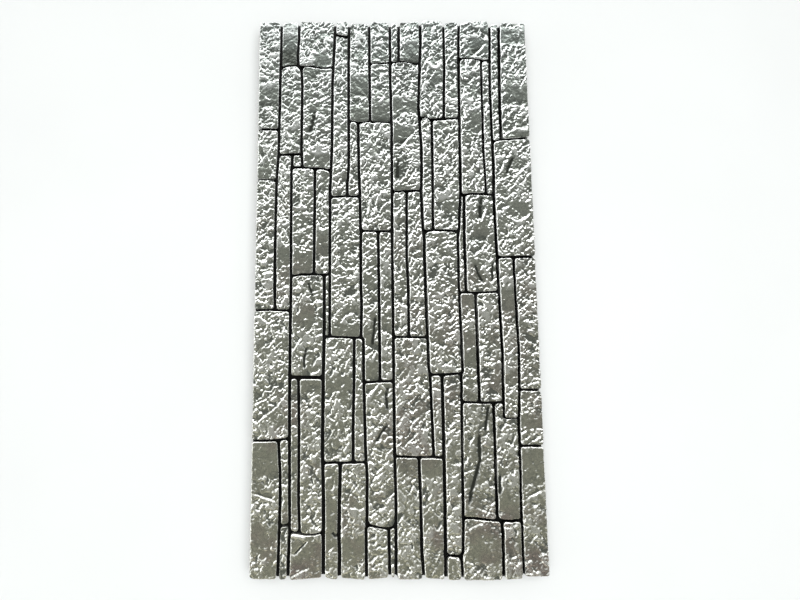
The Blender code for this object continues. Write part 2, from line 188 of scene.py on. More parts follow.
# %% Centre lines of the joints
# Along the panel, as (distance up, distance across). "left" and "right" are its long edges.
LONG_LINES = {
    "left": [(0, 0), (1200, 0)],
    "right": [(0, 600), (1200, 600)],
    "a": [(4, 56.5), (153, 59.5), (203, 59), (271, 54.5)],
    "b": [(4, 77), (103, 79), (352, 76), (600, 76.5), (799, 75), (848, 75), (883, 77.5)],
    "c": [(89, 99.5), (153, 97), (302, 96.5), (396, 94.5)],
    "d": [(4, 147.5), (153, 147.5), (252, 145), (401, 146), (501, 148), (617, 147.5)],
    "e": [(4, 179.5), (54, 180), (83, 178.5), (225, 181.5)],
    "f": [(228, 208), (302, 208), (401, 210.5), (481, 211)],
    "g": [(4, 234), (98, 233.5), (103, 235.5), (203, 236.5), (252, 233.5), (401, 230.5),
          (481, 230.5),
          (486, 225.5), (550, 227), (600, 225.5), (699, 226), (799, 224.5), (848, 222.5),
          (958, 221.5)],
    "h": [(4, 280.5), (95, 279.5)],
    "i": [(4, 293), (153, 294.5), (252, 293), (699, 293.5), (948, 295.5), (1047, 294),
          (1196, 294.5)],
    "j": [(4, 348.5), (54, 345.5), (153, 345), (237, 343)],
    "k": [(239, 373), (401, 369), (421, 366.5), (650, 362.5), (699, 363), (719, 360.5), (799, 358),
          (848, 360), (898, 360.5), (997, 355.5), (1146, 363), (1196, 363)],
    "l": [(4, 392.5), (252, 394.5), (404, 394)],
    "m": [(4, 426), (44, 424.5), (54, 428), (103, 430), (406, 434.5), (411, 437.5), (600, 434.5),
          (699, 435.5), (719, 439), (799, 444), (1047, 447), (1146, 449), (1196, 451.5)],
    "n": [(4, 507.5), (54, 509), (93, 509), (113, 507.5)],
    "o": [(115, 499.5), (347, 500)],
    "p": [(4, 548.5), (153, 548.5), (203, 550), (302, 550.5), (372, 554), (451, 556.5), (650, 553)],
    "q": [(543, 43), (600, 41.5), (749, 41.5), (826, 42.5), (898, 46.5), (1196, 49)],
    "r": [(487, 159), (799, 159.5), (898, 163.5), (1047, 164.5), (1146, 169), (1196, 171)],
    "s": [(393, 264.5), (709, 263.5)],
    "t": [(486, 326.5), (600, 326.5), (650, 324.5), (799, 326.5)],
    "u": [(352, 470.5), (576, 469.5)],
    "v": [(583, 449.5), (699, 449.5), (791, 451.5)],
    "w": [(315, 519.5), (451, 521.5), (769, 516), (848, 518), (1047, 517), (1196, 521)],
    "x": [(620, 125.5), (850, 126.5)],
    "y": [(856, 98.5), (898, 96.5), (1047, 97), (1087, 95)],
    "z": [(792, 197), (819, 197), (838, 199), (878, 200.5), (1097, 200.5), (1196, 202.5)],
    "aa": [(717, 382), (799, 383.5), (964, 384.5)],
    "bb": [(797, 500), (898, 497), (1105, 498.5)],
    "cc": [(1092, 88), (1117, 86), (1161, 89), (1196, 89)],
    "dd": [(961, 248), (1196, 247.5)],
    "ee": [(1104, 313.5), (1196, 314.5)],
    "ff": [(971, 411.5), (1097, 415.5), (1196, 415.5)],
    "gg": [(919, 537.5), (997, 537), (1196, 541.5)],
    # The inner corner of the one stone shaped like an L: a line inside it, and so with no gap.
    "elbow": [(115, 516.5), (347, 516.5)],
}

# Across the panel, between stone ends, as (distance across, distance up). "bottom" and "top" are
# its short ends, which step from stone to stone inside the joints.
CROSS_LINES = {
    "bottom": [(0, 2.5), (54.5, 2), (58.5, 0), (75, 3), (79, 0.5), (145.5, 5), (149.5, 6),
               (177.5, 0), (181.5, 4), (232, 0), (236, 1.5), (278.5, 5), (291, 5), (295, 1),
               (346.5, 1), (350.5, 4), (390.5, 1), (424, 1), (428, 0), (505.5, 0), (509.5, 1.5),
               (546.5, 4), (550.5, 6.5), (600, 6.5)],
    "top": [(0, 1195.5), (47, 1197), (51, 1196), (87, 1198), (91, 1199), (169, 1197),
            (200.5, 1197.5), (204.5, 1194.5), (245.5, 1195), (249.5, 1198), (292.5, 1195),
            (296.5, 1195.5), (312.5, 1195.5), (316.5, 1197), (361, 1199.5), (365, 1200),
            (413.5, 1200), (417.5, 1195), (449.5, 1199), (453.5, 1197.5), (519, 1200),
            (523, 1194), (539.5, 1194), (543.5, 1195), (600, 1195)],
    "A": [(0, 271), (50, 272), (75, 276)],
    "B": [(61, 103), (78, 105.5)],
    "C": [(80, 91.5), (112, 87), (130, 87.5), (146, 91.5)],
    "D": [(148, 227.5), (232, 227.5)],
    "E": [(237, 104.5), (270, 99), (285, 99), (292, 102.5)],
    "F": [(295, 239.5), (391, 237.5)],
    "G": [(395, 47.5), (424, 44.5)],
    "H": [(431, 118), (450, 118), (498, 113.5)],
    "I": [(501, 116), (515, 113.5), (530, 112.5), (547, 114.5)],
    "J": [(551, 261), (600, 260)],
    "K": [(0, 540.5), (40, 541), (76, 539.5)],
    "L": [(77, 400), (145, 399.5)],
    "M": [(149, 485), (228, 482)],
    "N": [(231, 389.5), (292, 392.5)],
    "O": [(294, 484), (365, 483)],
    "P": [(369, 405.5), (400, 406), (437, 408.5)],
    "Q": [(434, 349.5), (480, 347.5), (519, 349)],
    "R": [(435, 579), (470, 578), (519, 580)],
    "S": [(520, 315), (550, 315.5)],
    "T": [(554, 374.5), (600, 373.5)],
    "U": [(76, 613), (100, 617.5), (159, 617)],
    "V": [(0, 827.5), (42, 826.5)],
    "W": [(76, 855), (145, 851.5), (159, 847.5)],
    "X": [(46, 883), (78, 886), (97, 885)],
    "Y": [(160, 787.5), (190, 789.5), (224, 789.5)],
    "Z": [(226, 712), (294, 712)],
    "AA": [(295, 800), (345, 802.5), (358, 801.5)],
    "BB": [(363, 712), (385, 714), (437, 712)],
    "CC": [(443, 791.5), (470, 795.5), (517, 793.5)],
    "DD": [(518, 654.5), (600, 655.5)],
    "EE": [(49, 1086.5), (62, 1092.5), (80, 1092.5), (90, 1088.5), (115, 1090.5), (145, 1085),
           (166, 1087.5)],
    "FF": [(171, 1166), (202, 1159)],
    "GG": [(200, 961.5), (215, 960.5), (222, 958.5), (245, 959.5), (295, 958.5)],
    "HH": [(248, 1096.5), (294, 1098.5)],
    "II": [(295, 1098.5), (305, 1101.5), (320, 1102.5), (335, 1101), (350, 1097.5), (360, 1097.5)],
    "JJ": [(357, 965.5), (370, 970.5), (382, 964.5), (420, 966.5), (445, 969.5)],
    "KK": [(448, 1103.5), (457, 1108.5), (475, 1109), (500, 1105.5), (519, 1104.5)],
    "LL": [(518, 914), (530, 917), (600, 923)],
    "MM": [(0, 942.5), (30, 942.5), (46, 941)],
    "elbow": [(499, 312.7), (552, 313)],
}

# %% The stones
# From the lower left to the upper right: left side, right side, lower end, upper end, face level
# (-1 low, 0, 1 proud), and which ends have soft corners.
STONES = [
    ("left", "a", "bottom", "A", 0, ""),
    ("a", "b", "bottom", "B", 1, ""),
    ("a", "b", "B", "A", 0, ""),
    ("b", "d", "bottom", "C", 0, ""),
    ("b", "c", "C", "L", -1, ""),
    ("c", "d", "C", "L", 1, ""),
    ("d", "e", "bottom", "D", 0, ""),
    ("e", "g", "bottom", "D", -1, ""),
    ("g", "h", "bottom", "E", 0, ""),
    ("h", "i", "bottom", "E", -1, ""),
    ("g", "i", "E", "N", 0, "lower"),
    ("i", "j", "bottom", "F", -1, ""),
    ("j", "l", "bottom", "F", 0, ""),
    ("l", "m", "bottom", "G", 1, ""),
    ("l", "m", "G", "P", 0, ""),
    ("m", "n", "bottom", "H", 0, ""),
    ("m", "o", "H", "Q", -1, ""),
    ("n", "p", "bottom", "I", 1, ""),
    ("o", "elbow", "I", "elbow", 0, ""),
    ("p", "right", "bottom", "J", -1, ""),
    ("p", "right", "J", "T", 0, ""),
    ("left", "b", "A", "K", 1, ""),
    ("d", "f", "D", "M", 0, ""),
    ("f", "g", "D", "M", -1, ""),
    ("i", "k", "F", "O", 1, ""),
    ("k", "l", "F", "P", 0, ""),
    ("left", "q", "K", "V", 0, ""),
    ("q", "b", "K", "X", -1, ""),
    ("b", "d", "L", "U", 0, ""),
    ("d", "r", "M", "U", -1, ""),
    ("r", "g", "M", "Y", 0, ""),
    ("g", "s", "N", "Z", 1, ""),
    ("s", "i", "N", "Z", 0, ""),
    ("i", "t", "O", "AA", 0, ""),
    ("t", "k", "O", "AA", -1, ""),
    ("k", "m", "P", "BB", 1, "upper"),
    ("m", "u", "Q", "R", 0, ""),
    ("u", "w", "Q", "R", 1, ""),
    ("m", "v", "R", "CC", -1, ""),
    ("v", "w", "R", "CC", 0, ""),
    ("w", "p", "S", "DD", 1, ""),
    ("p", "right", "T", "DD", 0, ""),
    ("b", "x", "U", "W", 1, ""),
    ("x", "r", "U", "W", 0, ""),
    ("left", "q", "V", "MM", -1, ""),
    ("b", "y", "W", "X", 0, ""),
    ("y", "r", "W", "EE", 1, ""),
    ("q", "y", "X", "EE", 0, "upper"),
    ("r", "z", "Y", "FF", 1, ""),
    ("z", "g", "Y", "GG", 0, ""),
    ("g", "i", "Z", "GG", 1, ""),
    ("i", "k", "AA", "II", 0, ""),
    ("k", "aa", "BB", "JJ", 1, "upper"),
    ("aa", "m", "BB", "JJ", 0, ""),
    ("m", "bb", "CC", "KK", 1, ""),
    ("bb", "w", "CC", "KK", -1, ""),
    ("w", "right", "DD", "LL", 1, ""),
    ("left", "q", "MM", "top", 0, ""),
    ("q", "cc", "EE", "top", -1, ""),
    ("cc", "r", "EE", "top", 0, ""),
    ("r", "z", "FF", "top", 1, ""),
    ("z", "dd", "GG", "top", 0, ""),
    ("dd", "i", "GG", "HH", 0, ""),
    ("dd", "i", "HH", "top", 0, ""),
    ("i", "ee", "II", "top", -1, ""),
    ("ee", "k", "II", "top", 0, ""),
    ("k", "ff", "JJ", "top", 1, ""),
    ("ff", "m", "JJ", "top", 0, ""),
    ("m", "w", "KK", "top", 0, ""),
    ("w", "gg", "LL", "top", -1, ""),
    ("gg", "right", "LL", "top", 1, ""),
]

# %% [markdown]
# A joint's width depends on its kind: the long ones are 6 mm, the ones between stone ends 4.5 mm.
# Every stone has a worn arris, a quarter round along its whole edge, and worn corners. The stones
# stand at three levels, and their sides lean by a hair so that the mould lets go.

# %% Sizes of joints and stones, in millimetres
WIDTH, LENGTH, THICKNESS = 600.0, 1200.0, 38.0
LONG_JOINT, CROSS_JOINT = 6.0, 4.5
OTHER_JOINTS = {"left": 0, "right": 0, "bottom": 0, "top": 0, "d": 7, "e": 7, "l": 7, "L": 7,
                "HH": 3}
ARRIS, ARRIS_SHARE_OF_STONE = 2.2, 0.22
CORNER, SOFT_CORNER = 3.0, 7.5
RELIEF, LEVEL_STEP = 1.9, 1.4
SIDE_LEAN, BLACK_BELOW_ARRIS, FOOT_HEIGHT = 0.75, 2.4, 0.05
FACE_SPACING = 1.5


def line_at(line, where):
    """How far off a joint's centre line lies, at places along it."""
    places, offsets = zip(*line)
    return np.interp(where, places, offsets)


def setback(name, arris):
    """From a joint's centre line to the level part of the stone beside it."""
    if name == "elbow":
        return 0.0
    usual = LONG_JOINT if name in LONG_LINES else CROSS_JOINT
    return OTHER_JOINTS.get(name, usual) / 2 + arris


print(len(STONES), "stones between", len(LONG_LINES) - 2, "long and", len(CROSS_LINES) - 3,
      "cross joints")

# %% [markdown]
# Each stone starts as a fine net of quads over the level part of its face. A net point is known by
# its shares across and along the stone. Where it lies follows from the four joint lines, which may
# bend, so the place is found by going back and forth between the sides and the ends a few times.

# %% The net over one stone face
def net_point(sides, across, along, arris):
    """Places, in millimetres, of points at given shares across and along a four-sided patch."""
    left, right, lower, upper = sides
    y = np.full(across.shape, (CROSS_LINES[lower][0][1] + CROSS_LINES[upper][0][1]) / 2)
    for _ in range(6):
        x_left = line_at(LONG_LINES[left], y) + setback(left, arris)
        x_right = line_at(LONG_LINES[right], y) - setback(right, arris)
        x = x_left + across * (x_right - x_left)
        y_lower = line_at(CROSS_LINES[lower], x) + setback(lower, arris)
        y_upper = line_at(CROSS_LINES[upper], x) - setback(upper, arris)
        y = y_lower + along * (y_upper - y_lower)
    return np.stack([x, y], axis=-1)


def patch_size(sides, arris):
    """Width and length of a patch up its middle."""
    ends = net_point(sides, np.array([0.0, 1.0, 0.5, 0.5]), np.array([0.5, 0.5, 0.0, 1.0]), arris)
    return ends[1, 0] - ends[0, 0], ends[3, 1] - ends[2, 1]


def arris_of(entry):
    """A stone's arris, which is smaller on a very narrow stone."""
    return min(ARRIS, ARRIS_SHARE_OF_STONE * patch_size(entry[:4], 0.0)[0])


def wear_corner(u, v, width, length, at_right, at_top, radius):
    """Bends one square corner of a net onto an arc."""
    a = radius - (width - u if at_right else u)
    b = radius - (length - v if at_top else v)
    inside = (a > 0) & (b > 0)
    pull = np.maximum(a, b) / np.maximum(np.hypot(a, b), 1e-9)
    new_u = width - radius + a * pull if at_right else radius - a * pull
    new_v = length - radius + b * pull if at_top else radius - b * pull
    return np.where(inside, new_u, u), np.where(inside, new_v, v)


def net_quads(columns, rows):
    """The quads between the points of a net, row by row from the lower left."""
    number = np.arange((rows + 1) * (columns + 1)).reshape(rows + 1, columns + 1)
    quads = np.stack([number[:-1, :-1], number[:-1, 1:], number[1:, 1:], number[1:, :-1]], axis=-1)
    return quads.reshape(-1, 4)


def rim_of(quads):
    """The points on the open edge of a net, in order."""
    edges = np.concatenate([quads[:, [i, (i + 1) % 4]] for i in range(4)])
    stride = edges.max() + 1
    forward = edges[:, 0] * stride + edges[:, 1]
    backward = edges[:, 1] * stride + edges[:, 0]
    following = dict(edges[~np.isin(forward, backward)].tolist())
    rim = [next(iter(following))]
    while following[rim[-1]] != rim[0]:
        rim.append(following[rim[-1]])
    return np.array(rim)


def face_net(sides, corners, arris, counts=None):
    """Points and quads over one patch. Corners maps (at right, at top) to the worn radius."""
    width, length = patch_size(sides, arris)
    columns, rows = counts or (max(2, round(width / FACE_SPACING)), round(length / FACE_SPACING))
    u, v = np.meshgrid(np.linspace(0, width, columns + 1), np.linspace(0, length, rows + 1))
    for (at_right, at_top), radius in corners.items():
        u, v = wear_corner(u, v, width, length, at_right, at_top, min(radius, 0.4 * width))
    points = net_point(sides, u.ravel() / width, v.ravel() / length, arris)
    return points, net_quads(columns, rows), (columns, rows)


# %% [markdown]
# One stone is shaped like an L. Its net is three patches that share two edges, so points in the
# same place are merged. Its inner corner is worn as well, by letting the rim there relax.

# %% Nets of all stones
HEEL_WIDTH, LEG_LENGTH = 30, 34
INNER_CORNER, CORNER_REACH, CORNER_ROUNDS = (516.5, 312.8), 9, 14


def stone_net(entry):
    """Points, quads and rim of one stone's face, the rim anticlockwise from above."""
    low, high = (SOFT_CORNER if entry[5] == end else CORNER for end in ("lower", "upper"))
    arris = arris_of(entry)
    if "elbow" not in entry:
        corners = {(False, False): low, (True, False): low, (False, True): high, (True, True): high}
        points, quads, _ = face_net(entry[:4], corners, arris)
        return points, quads, rim_of(quads)
    toe = face_net(("o", "elbow", "I", "elbow"), {(False, False): low}, arris)
    heel = face_net(("elbow", "p", "I", "elbow"), {(True, False): low, (True, True): low}, arris,
                    (round(HEEL_WIDTH / FACE_SPACING), toe[2][1]))
    leg = face_net(("o", "elbow", "elbow", "Q"), {(False, True): high, (True, True): high}, arris,
                   (toe[2][0], round(LEG_LENGTH / FACE_SPACING)))
    points = np.concatenate([toe[0], heel[0], leg[0]])
    starts = np.cumsum([0, len(toe[0]), len(heel[0])])
    quads = np.concatenate([net[1] + start for net, start in zip((toe, heel, leg), starts)])
    _, first, merged = np.unique(np.round(points, 3), axis=0, return_index=True,
                                 return_inverse=True)
    points, quads = points[first], merged.reshape(-1)[quads]
    rim = rim_of(quads)
    for _ in range(CORNER_ROUNDS):
        ring = points[rim]
        relaxed = (np.roll(ring, 1, axis=0) + np.roll(ring, -1, axis=0)) / 2
        near = np.linalg.norm(ring - INNER_CORNER, axis=1) < CORNER_REACH
        points[rim[near]] = relaxed[near]
    return points, quads, rim


nets = [stone_net(entry) for entry in STONES]
print(sum(len(quads) for _, quads, _ in nets), "quads on the faces,",
      sum(len(rim) for _, _, rim in nets), "points on the rims")

# %% [markdown]
# Round each net the stone's edge is added in rings: three round the worn arris, one a little down
# the joint, where the black paint starts, and one at the foot. The last face closes the block
# underneath, so each stone is a closed solid that stands in the board. Along the panel's own edges
# the side is upright, as the mould leaves it.

# %% The edge profile of a stone
def profile(arris, face):
    """Rings of the edge: distance out, height, share of the relief, share of joint black."""
    rings = [(arris * math.sin(math.radians(angle)),
              face - arris * (1 - math.cos(math.radians(angle))), share, 0.0)
             for angle, share in ((32, 0.95), (62, 0.8), (90, 0.6))]
    rings.append((arris + 0.1, face - arris - BLACK_BELOW_ARRIS, 0.3, 1.0))
    rings.append((arris + SIDE_LEAN, FOOT_HEIGHT, 0.0, 1.0))
    return rings


def outward(rim_points):
    """Unit directions in plan from the rim towards the joint."""
    run = np.roll(rim_points, -1, axis=0) - np.roll(rim_points, 1, axis=0)
    normal = np.stack([run[:, 1], -run[:, 0]], axis=1)
    normal /= np.linalg.norm(normal, axis=1, keepdims=True)
    normal = 2 * normal + np.roll(normal, 1, axis=0) + np.roll(normal, -1, axis=0)
    return normal / np.linalg.norm(normal, axis=1, keepdims=True)


def lean_direction(entry, normal):
    """The way a side leans as it goes down. It doesn't lean out over the panel's own edges."""
    lean = normal.copy()
    for side, edge, axis, keep in ((0, "left", 0, np.maximum), (1, "right", 0, np.minimum),
                                   (2, "bottom", 1, np.maximum), (3, "top", 1, np.minimum)):
        if entry[side] == edge:
            lean[:, axis] = keep(lean[:, axis], 0)
    return lean


def bands(loops):
    """Quads between one ring of points and the next, and a last face that closes the end."""
    faces = []
    for upper, lower in zip(loops, loops[1:]):
        faces += np.stack([upper, lower, np.roll(lower, -1), np.roll(upper, -1)], axis=1).tolist()
    return faces + [loops[-1][::-1].tolist()]


# %% One whole stone
def stone_block(index):
    """All about one stone: its points in millimetres, its faces, and what is known of each."""
    entry = STONES[index]
    points, quads, rim = nets[index]
    face = THICKNESS - RELIEF - LEVEL_STEP * (1 - entry[4])
    normal = outward(points[rim])
    lean = lean_direction(entry, normal)
    places = [np.column_stack([points, np.full(len(points), face)])]
    plans, flats = [points], [points]
    shares, joint_black_and_painted_shade = [np.ones(len(points))], [np.zeros(len(points))]
    arris = arris_of(entry)
    arris_end = points[rim] + normal * arris
    rings = profile(arris, face)
    for out, height, share, black in rings:
        on_arris = out <= arris + 1e-6
        ring = points[rim] + normal * out if on_arris else arris_end + lean * (out - arris)
        places.append(np.column_stack([ring, np.full(len(rim), height)]))
        plans.append(ring if on_arris else arris_end)
        flats.append(points[rim] + normal * (out + 0.25 * (face - height)))
        shares.append(np.full(len(rim), share))
        # Painted shade: on an arris that faces the near end, away from the far windows, the black
        # reaches higher.
        joint_black_and_painted_shade.append(np.maximum(black, 2 * (1 - share) * np.clip(-normal[:, 1], 0, 1)))
    loops = [rim] + [len(points) + len(rim) * k + np.arange(len(rim)) for k in range(len(rings))]
    known = zip(("places", "plan", "flat", "top", "joint"), (places, plans, flats, shares, joint_black_and_painted_shade))
    return {"faces": quads.tolist() + bands(loops),
            **{name: np.concatenate(values) for name, values in known}}


sample = stone_block(0)
print("first stone:", len(sample["places"]), "points,", len(sample["faces"]), "faces")

# %% [markdown]
# Some features of the cast are large enough to be told apart: slanting ledges, gouges and patches
# that split clean. They are listed one by one, in the layout's millimetres. A ledge drops away
# towards the far end over a narrow riser and fades out on both sides. A ridge stands up, and a gouge
# cuts in.

# %% Features listed one by one
# Of each kind: height, width of the riser or groove, and the points that it runs through.
STROKES = {
    "ledge": [
        (2.2, 5, [(3, 166), (22, 160), (38, 155), (54, 149)]),
        (1.6, 4, [(100, 215), (112, 232), (128, 252)]),
        (1.6, 4, [(105, 272), (122, 283), (140, 297)]),
        (1.6, 4, [(297, 180), (312, 163), (326, 150)]),
        (1.7, 5, [(348, 134), (362, 146), (378, 152), (390, 172)]),
        (1.8, 4, [(507, 320), (520, 306), (536, 300)]),
        (2.2, 5, [(553, 151), (574, 162), (598, 175)]),
        (1.4, 3, [(560, 133), (574, 140), (590, 148)]), (1.6, 4, [(82, 4), (98, 14), (118, 22)]),
        (1.6, 4, [(434, 90), (450, 101), (470, 110)]),
        (2.1, 5, [(5, 303), (28, 322), (50, 340), (73, 372)]),
        (1.7, 5, [(3, 345), (22, 352), (46, 366)]), (1.7, 4, [(84, 458), (96, 476), (118, 497)]),
        (1.8, 5, [(470, 655), (486, 672), (500, 700)]),
        (2.2, 6, [(300, 891), (316, 903), (332, 920), (350, 938)]),
        (1.8, 4, [(313, 822), (324, 836), (331, 852)]),
        (1.8, 4, [(329, 820), (338, 834), (347, 850)]),
        (2.0, 5, [(545, 929), (560, 940), (578, 945), (597, 940)]),
        (1.8, 5, [(4, 1046), (22, 1050), (44, 1060)]),
        (1.8, 5, [(419, 1100), (430, 1114), (442, 1132)]),
        (2.2, 6, [(475, 1111), (494, 1128), (512, 1146)]),
    ],
    "ridge": [
        (1.4, 4, [(185, 98), (188, 121), (200, 124), (212, 119), (222, 101)]),
        (1.3, 3, [(184, 98), (195, 90), (208, 89), (222, 101)]),
        (1.8, 5, [(234, 368), (243, 356), (254, 374), (264, 386), (273, 375), (281, 368)]),
        (1.4, 4, [(297, 72), (318, 71), (340, 76)]), (1.5, 4, [(438, 346), (452, 330), (470, 321)]),
        (1.6, 5, [(84, 84), (96, 82), (112, 79)]),
        (1.7, 4, [(511, 54), (520, 32), (535, 26), (546, 34)]),
        (1.4, 4, [(20, 452), (32, 440), (48, 420)]), (1.5, 4, [(570, 352), (578, 358), (588, 350)]),
        (1.8, 5, [(237, 440), (248, 432), (256, 446)]),
        (1.7, 4, [(488, 730), (497, 752), (503, 772)]),
        (1.8, 4, [(547, 744), (558, 732), (575, 729), (593, 748)]),
        (1.6, 4, [(375, 704), (400, 708), (418, 691)]),
        (1.8, 5, [(112, 908), (118, 890), (132, 884), (148, 888)]),
        (1.7, 5, [(58, 950), (66, 926), (78, 903)]),
        (2.2, 7, [(378, 1101), (384, 1088), (395, 1084), (405, 1089), (409, 1101)]),
    ],
    "gouge": [
        (1.8, 6, [(255, 267), (266, 286), (278, 302)]),
        (2.0, 7, [(279, 332), (277, 356), (280, 380)]),
        (1.9, 7, [(468, 292), (468, 232), (450, 173), (443, 143)]),
        (1.7, 6, [(490, 343), (484, 312), (481, 288)]),
        (1.8, 6, [(506, 163), (507, 183), (508, 203)]), (1.8, 4, [(90, 49), (102, 62), (115, 74)]),
        (1.8, 6, [(165, 92), (171, 84), (178, 88)]), (1.8, 6, [(113, 600), (118, 586), (123, 570)]),
        (1.8, 6, [(107, 416), (106, 440), (112, 463)]),
        (1.8, 7, [(256, 528), (253, 500), (249, 466)]),
        (2.0, 8, [(486, 738), (485, 762), (492, 789)]),
        (1.8, 6, [(470, 640), (476, 620), (486, 600)]),
        (1.6, 6, [(507, 600), (506, 626), (512, 648)]),
        (1.8, 7, [(545, 838), (552, 858), (562, 878)]),
        (1.8, 7, [(306, 828), (307, 850), (310, 874)]),
        (1.8, 8, [(114, 932), (120, 955), (126, 985)]),
    ],
}

# Patches that split clean, as the corners of the box that each fills.
CALM_PATCHES = [
    (4, 46, 50, 100), (0, 203, 54, 268), (100, 505, 124, 545), (4, 1000, 44, 1044),
    (52, 1100, 84, 1190), (204, 1022, 244, 1066), (250, 963, 292, 1005), (162, 488, 224, 507),
    (150, 374, 200, 400), (544, 1148, 598, 1176), (552, 1008, 598, 1042), (410, 758, 434, 774),
    (96, 22, 142, 66), (446, 36, 498, 92), (346, 202, 388, 234), (302, 206, 340, 232),
    (556, 190, 594, 246), (100, 374, 140, 396), (152, 64, 174, 140), (440, 424, 465, 490),
    (437, 552, 466, 578), (236, 470, 250, 496), (235, 402, 257, 426), (131, 662, 155, 706),
    (82, 625, 118, 662), (48, 640, 72, 674), (476, 700, 500, 724), (550, 748, 586, 774),
    (300, 912, 338, 942), (302, 984, 350, 1012), (108, 860, 160, 880), (2, 833, 24, 850),
    (474, 942, 494, 974), (204, 964, 242, 990), (130, 1096, 162, 1112), (388, 1054, 410, 1074),
    (480, 1128, 506, 1152), (552, 924, 598, 933), (330, 1100, 352, 1150), (523, 545, 550, 590),
    (238, 380, 250, 392), (558, 300, 598, 318), (190, 34, 226, 78), (505, 120, 545, 150),
]

# How much the heights above are raised, how steeply clean patches rise at the far end and how far
# they may, and over what distance a patch ends.
STROKE_STRENGTH, CLEAN_TILT, CLEAN_RISE, SOFT_BORDER = 1.3, 0.07, 1.6, 14.0
# How fast a ledge fades out, and how calm the split is along a stroke.
LEDGE_FADE, CALM_ALONG_STROKE = 14, 0.6


def stroke_height(points, kind, height, width, run):
    """What one stroke adds to the height at places in plan, in millimetres, and how near it is."""
    nearest = np.full(len(points), 1e9)
    added = np.zeros(len(points))
    total = sum(math.dist(a, b) for a, b in zip(run, run[1:]))
    walked = 0.0
    for start, end in zip(run, run[1:]):
        step = np.subtract(end, start)
        size = np.linalg.norm(step)
        share = np.clip(((points - start) @ step) / size ** 2, 0, 1)
        gap = points - (start + share[:, None] * step)
        apart = np.linalg.norm(gap, axis=1)
        at = (walked + share * size) / total
        taper = np.clip(6 * np.minimum(at, 1 - at) + 0.35, 0, 1)
        if kind == "ledge":
            beyond = np.sign(gap[:, 1] * step[0] - gap[:, 0] * step[1]) * apart
            drop = np.clip(beyond / width + 0.5, 0, 1)
            shape = (0.5 - drop * drop * (3 - 2 * drop)) * np.exp(-apart / LEDGE_FADE)
        elif kind == "ridge":
            shape = np.exp(-(apart / (0.5 * width)) ** 2)
        else:
            shape = -np.exp(-(apart / (0.6 * width)) ** 2)
        added = np.where(apart < nearest, height * taper * shape, added)
        nearest = np.minimum(nearest, apart)
        walked += size
    return added, np.exp(-(nearest / (1.6 * width)) ** 2)


def features(plan):
    """Height from the listed features, and calmness, at the points of one stone."""
    low, high = plan.min(axis=0), plan.max(axis=0)
    carve, calm = np.zeros(len(plan)), np.zeros(len(plan))
    for kind, strokes in STROKES.items():
        for height, width, run in strokes:
            middle = np.mean(run, axis=0)
            if np.all((middle > low) & (middle < high)):
                added, near = stroke_height(plan, kind, height, width, run)
                carve += STROKE_STRENGTH * added
                calm = np.maximum(calm, CALM_ALONG_STROKE * near)
    for box in CALM_PATCHES:
        first, last = np.reshape(box, (2, 2))
        middle = (first + last) / 2
        if np.all((middle > low) & (middle < high)):
            off = np.maximum(np.maximum(first - plan, plan - last), 0)
            share = np.clip(1 - np.linalg.norm(off, axis=1) / SOFT_BORDER, 0, 1)
            along = middle[1] / LENGTH
            calm = np.maximum(calm, share * (0.75 + 0.25 * along))
            rise = CLEAN_TILT * along * (plan[:, 1] - middle[1])
            carve += share * np.clip(rise, -CLEAN_RISE, CLEAN_RISE)
    return carve, calm


print(sum(map(len, STROKES.values())), "strokes and", len(CALM_PATCHES), "clean patches")

# %% [markdown]
# The rest of the split face follows a rule, so Geometry Nodes make it. Stone of this kind breaks
# in thin sheets, with a steep riser where a sheet ends, and the contours of a bent noise give such
# risers. Over them lie flat facets of three sizes, each tipped its own way and long in one of two
# slanting directions that cross. Thin ridges stand between shell-shaped hollows. A slow swell, the
# grain and the listed features come last. The tree also stores the relief, because the paint
# carries a painted highlight on crests and painted shade in hollows.

# %% The tree for a split stone face
SPLIT_SIZES = {
    "Sheet Size": 0.030, "Sheet Height": 0.0020, "Riser Share": 0.2, "Slab Size": 0.032,
    "Slab Slope": 0.09, "Chip Size": 0.0105, "Chip Slope": 0.42, "Flake Size": 0.0055,
    "Flake Slope": 0.48, "Ridge Size": 0.0090, "Ridge Height": 0.0021, "Grain Size": 0.0045,
    "Grain Height": 0.0010, "Swell Size": 0.040, "Swell Height": 0.0010, "Outline Waver": 0.0018,
    "Face Sink": 0.0004, "Highest": 0.0018, "Lowest": -0.0026, "Seed": 4.0,
}
BENDING, CREST_ROUNDING, SHEETS_IN_A_HILL = 0.007, 0.0010, 6.0


